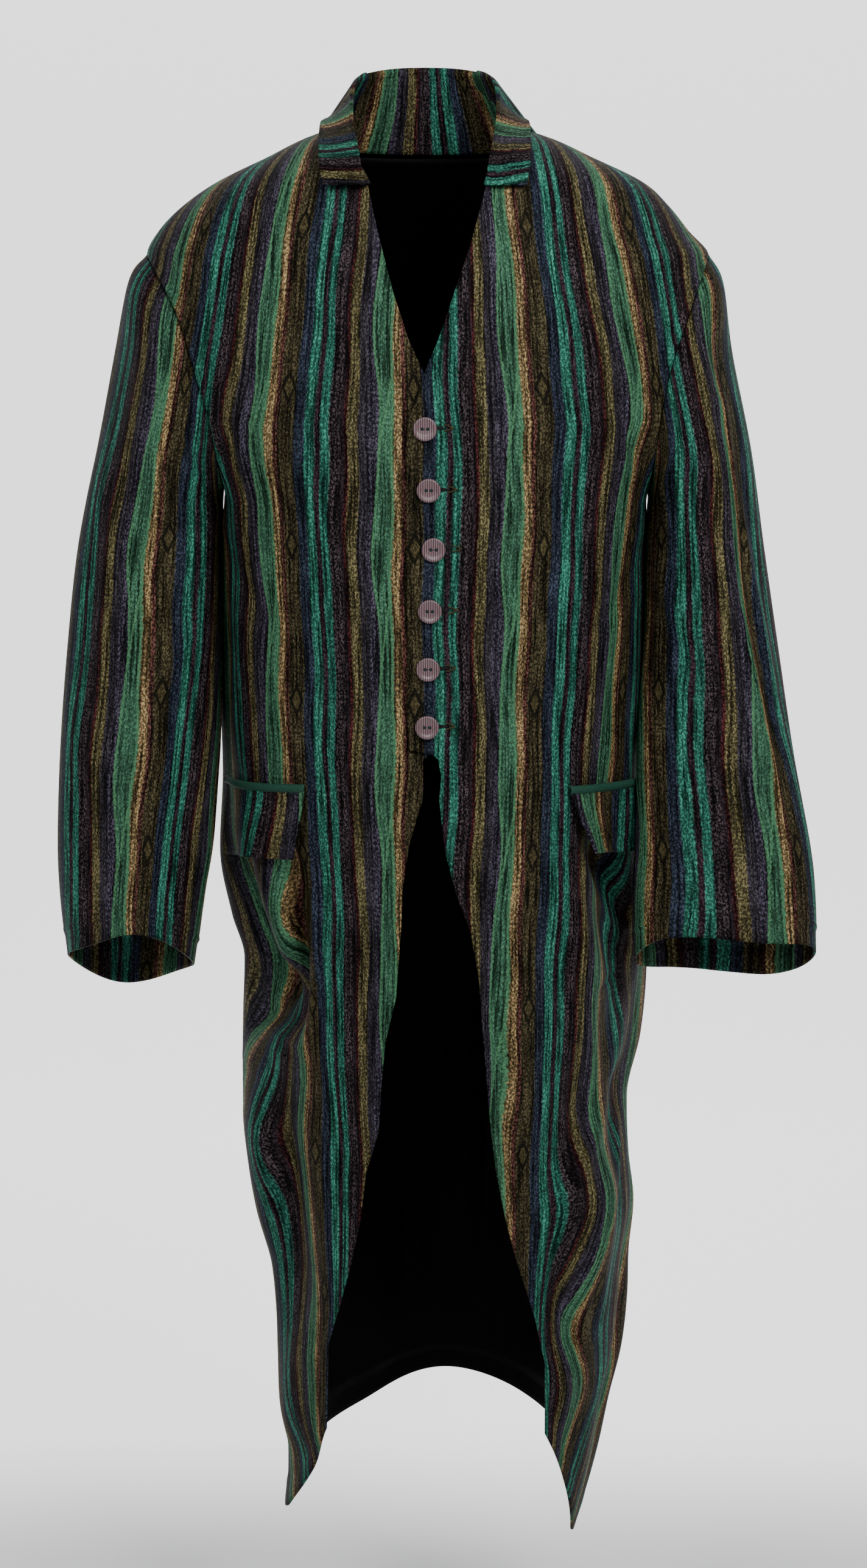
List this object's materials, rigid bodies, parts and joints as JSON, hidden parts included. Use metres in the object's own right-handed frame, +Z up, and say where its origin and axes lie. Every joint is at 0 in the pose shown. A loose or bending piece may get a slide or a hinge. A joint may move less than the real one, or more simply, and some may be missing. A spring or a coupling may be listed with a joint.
{
  "type": "long jacket",
  "caption": "Hollow worn long jacket in vertical woven stripes, with a turned collar, long sleeves, flap pockets, buttoned chest and fronts cut away below the waist.",
  "frame": {"origin": "middle of the neck, between the shoulder points, where the wearer's neck and shoulders hold the jacket up", "axes": "+Z up, the front faces -Y, +X is the wearer's left"},
  "size_m": [0.6753, 0.301, 1.3333],
  "materials": {
    "stripe_cloth": "speckled woven stripes of green, emerald, olive, slate, plum and thin maroon, slight lustre",
    "lining_cloth": "plain black, soft sheen",
    "piping": "plain green woven edge",
    "button_shell": "pinkish mauve with fine vertical ribs"
  },
  "bodies": {
    "root": {"back": "stripe_cloth", "lining": "lining_cloth", "front_left": "stripe_cloth", "front_right": "stripe_cloth", "sleeve_left": "stripe_cloth", "sleeve_right": "stripe_cloth", "collar": "stripe_cloth", "welt_left": "piping", "welt_right": "piping", "flap_left": "stripe_cloth", "flap_right": "stripe_cloth", "button_1": "button_shell", "button_2": "button_shell", "button_3": "button_shell", "button_4": "button_shell", "button_5": "button_shell", "button_6": "button_shell"}
  },
  "joints": []
}
